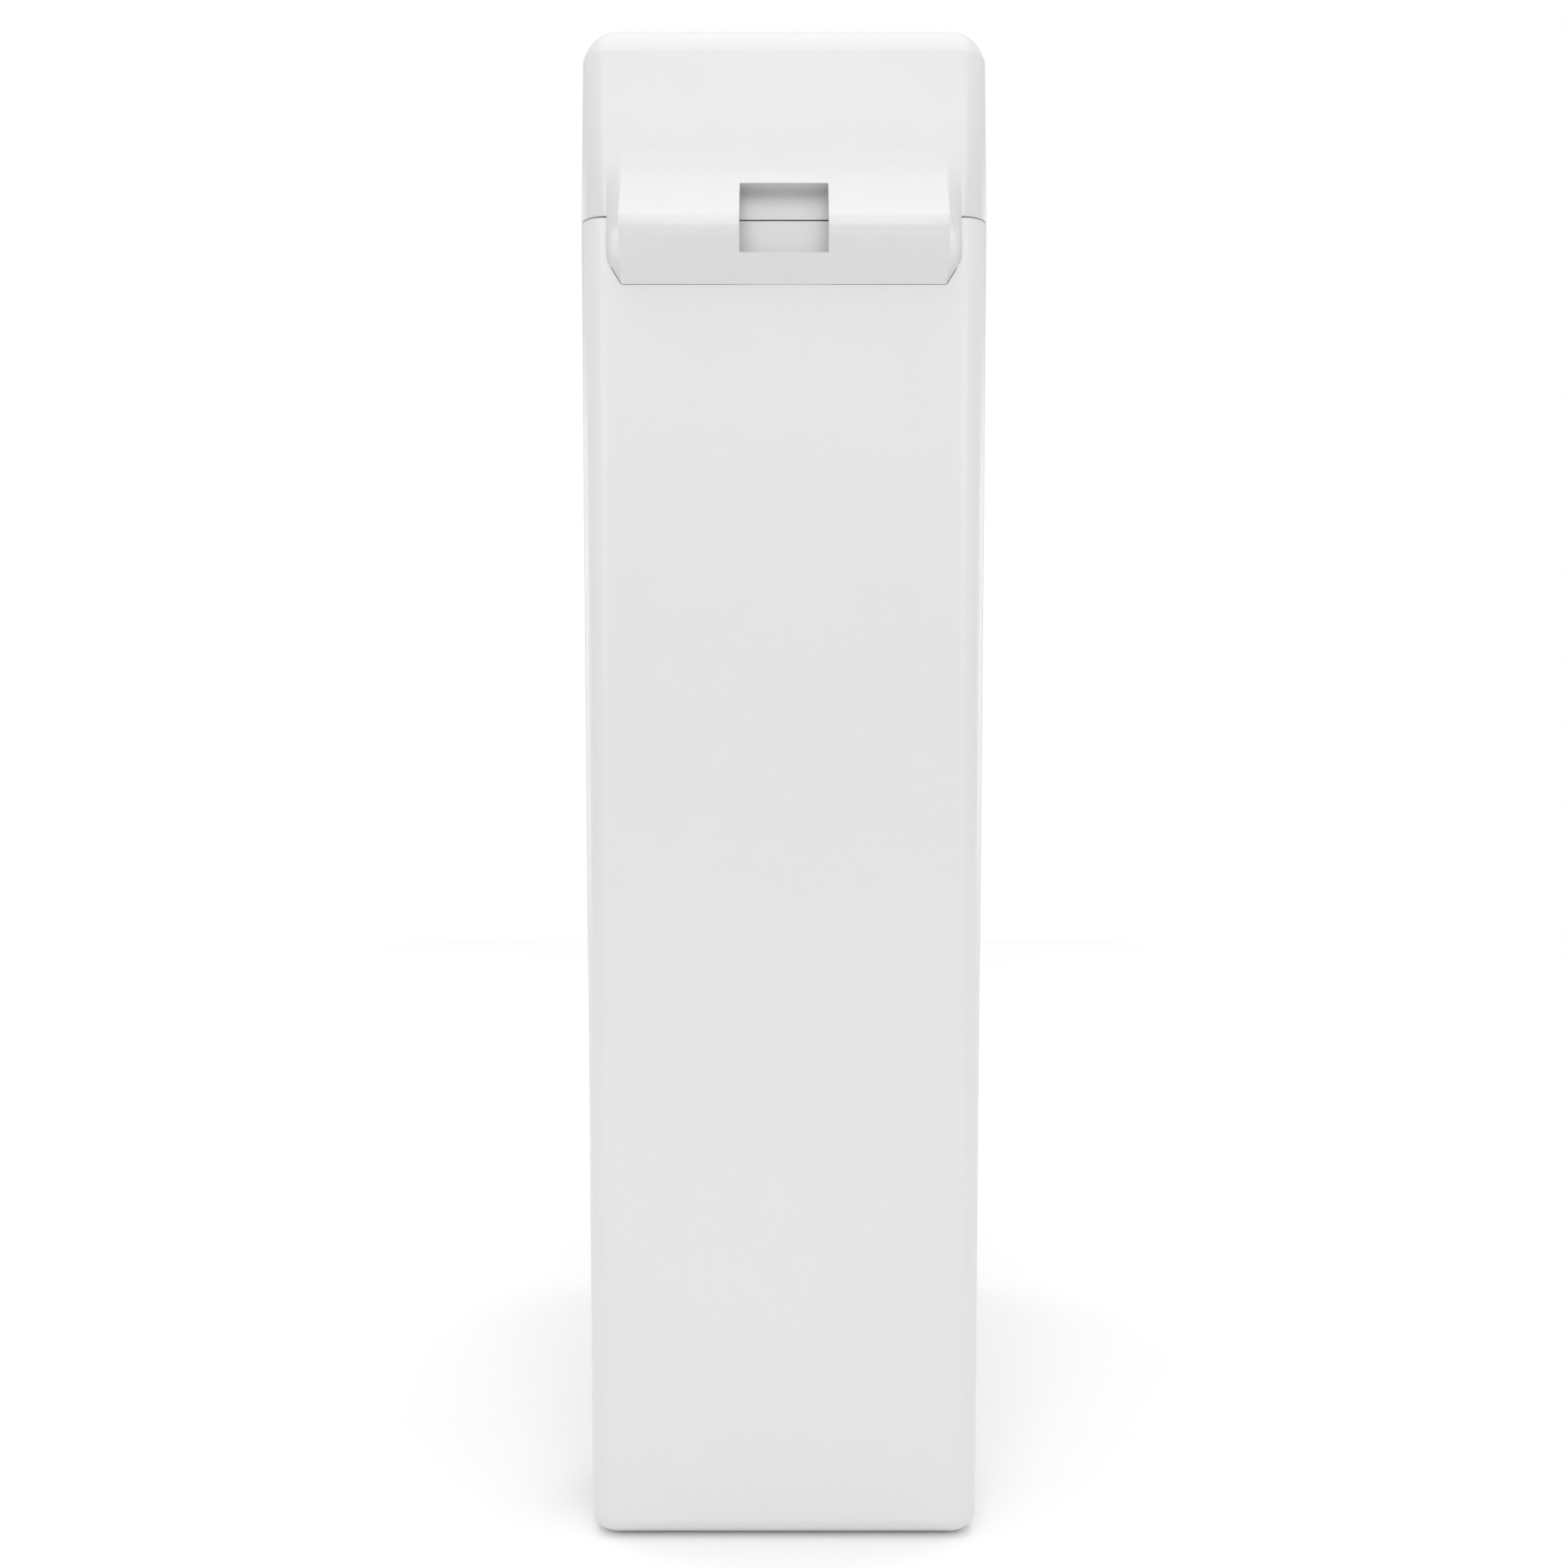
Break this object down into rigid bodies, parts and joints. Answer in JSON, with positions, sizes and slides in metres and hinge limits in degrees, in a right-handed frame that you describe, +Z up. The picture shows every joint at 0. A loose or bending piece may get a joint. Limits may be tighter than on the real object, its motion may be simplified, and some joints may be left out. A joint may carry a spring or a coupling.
{
  "type": "trash compactor",
  "caption": "Slim floor-standing trash compactor with a rear-hinged lid carrying a screw-driven scissor press over a pull-out bin drawer.",
  "frame": {"origin": "centre of the footprint, on the ground", "axes": "+Z up, -Y towards the drawer and buttons (front), +Y towards the hinge (rear), +X to the right seen from the front"},
  "size_m": [0.1858, 0.4, 0.69],
  "materials": {
    "white_shell": "satin moulded white ABS",
    "bin_plastic": "moulded grey polypropylene",
    "rubber": "matt black rubber",
    "bright_steel": "zinc-plated steel",
    "dark_steel": "powder-coated steel",
    "brass": "turned brass",
    "grey_plastic": "moulded grey plastic",
    "black_plastic": "moulded black plastic",
    "circuit_board": "green solder mask",
    "button_grey": "light grey plastic",
    "indicator_lens": "clear green-tinted plastic"
  },
  "bodies": {
    "cabinet": {"housing": "white_shell", "rim_gasket": "rubber", "base_frame": "dark_steel", "slide_fixed_left": "bright_steel", "slide_fixed_right": "bright_steel", "hinge_bracket_left": "bright_steel", "hinge_bracket_right": "bright_steel", "hinge_pin_left": "bright_steel", "hinge_pin_right": "bright_steel", "power_supply": "grey_plastic", "power_inlet": "black_plastic", "inlet_lead": "black_plastic", "body_harness": "black_plastic", "body_contacts": "black_plastic", "lock_body": "black_plastic", "foot_pad_front_left": "rubber", "foot_pad_front_right": "rubber", "foot_pad_rear_left": "rubber", "foot_pad_rear_right": "rubber"},
    "lid": {"lid_shell": "white_shell", "press_frame": "dark_steel", "frame_pivot_shaft": "bright_steel", "screw_bearing_front": "dark_steel", "screw_bearing_rear": "dark_steel", "motor": "dark_steel", "drive_belt": "rubber", "control_board": "circuit_board", "status_lens": "indicator_lens", "lid_contacts": "black_plastic", "lid_harness": "black_plastic", "strike_plate": "bright_steel"},
    "drawer": {"drawer_panel": "white_shell", "bin": "bin_plastic", "drawer_frame": "dark_steel", "slide_inner_left": "bright_steel", "slide_inner_right": "bright_steel"},
    "slide_middles": {"slide_middle_left": "bright_steel", "slide_middle_right": "bright_steel"},
    "arm_a": {"press_arm_a_left": "bright_steel", "press_arm_a_right": "bright_steel", "scissor_centre_shaft": "bright_steel", "ram_slider_shaft": "bright_steel"},
    "arm_b": {"press_arm_b_left": "bright_steel", "press_arm_b_right": "bright_steel"},
    "nut": {"drive_nut": "brass"},
    "ram_head": {"ram": "dark_steel", "ram_face": "bright_steel", "ram_pivot_shaft": "bright_steel"},
    "screw": {"lead_screw": "bright_steel", "screw_pulley": "grey_plastic"},
    "motor_rotor": {"motor_pulley": "grey_plastic"},
    "start_key": {"start_button": "button_grey"},
    "stop_key": {"stop_button": "button_grey"},
    "bolt": {"lock_bolt": "bright_steel"}
  },
  "joints": [
    {"name": "lid_hinge", "type": "hinge", "parent": "cabinet", "child": "lid", "pos_m": [0, 0.1845, 0.5785], "axis": [-1, 0, 0], "range_deg": [0, 95]},
    {"name": "drawer_slide", "type": "slide", "parent": "cabinet", "child": "drawer", "axis": [0, -1, 0], "range_m": [0, 0.33]},
    {"name": "slide_extend", "type": "slide", "parent": "cabinet", "child": "slide_middles", "axis": [0, -1, 0], "range_m": [0, 0.165]},
    {"name": "press_lift", "type": "hinge", "parent": "lid", "child": "arm_a", "pos_m": [0, 0.148, 0.664], "axis": [1, 0, 0], "range_deg": [0, 54]},
    {"name": "scissor_pivot", "type": "hinge", "parent": "arm_a", "child": "arm_b", "pos_m": [0, -0.01013, 0.64738], "axis": [1, 0, 0], "range_deg": [-108, 0]},
    {"name": "nut_pivot", "type": "hinge", "parent": "arm_b", "child": "nut", "pos_m": [0, -0.16826, 0.664], "axis": [1, 0, 0], "range_deg": [0, 54]},
    {"name": "ram_pivot", "type": "hinge", "parent": "arm_b", "child": "ram_head", "pos_m": [0, 0.148, 0.63076], "axis": [1, 0, 0], "range_deg": [0, 54]},
    {"name": "screw_spin", "type": "hinge", "parent": "lid", "child": "screw", "pos_m": [0, 0, 0.664], "axis": [0, 1, 0], "continuous": true},
    {"name": "motor_spin", "type": "hinge", "parent": "lid", "child": "motor_rotor", "pos_m": [0.024, 0.02, 0.658], "axis": [0, 1, 0], "continuous": true},
    {"name": "start_press", "type": "slide", "parent": "lid", "child": "start_key", "axis": [0, 1, 0], "range_m": [0, 0.0015], "stiffness_N_per_m": 400},
    {"name": "stop_press", "type": "slide", "parent": "lid", "child": "stop_key", "axis": [0, 1, 0], "range_m": [0, 0.0015], "stiffness_N_per_m": 400},
    {"name": "bolt_slide", "type": "slide", "parent": "cabinet", "child": "bolt", "axis": [0, -1, 0], "range_m": [0, 0.003]}
  ],
  "couplings": [
    {"joint": "slide_extend", "follows": "drawer_slide", "ratio": 0.5},
    {"joint": "scissor_pivot", "follows": "press_lift", "ratio": -2},
    {"joint": "nut_pivot", "follows": "press_lift", "ratio": 1},
    {"joint": "ram_pivot", "follows": "press_lift", "ratio": 1},
    {"joint": "motor_spin", "follows": "screw_spin", "ratio": 2}
  ]
}
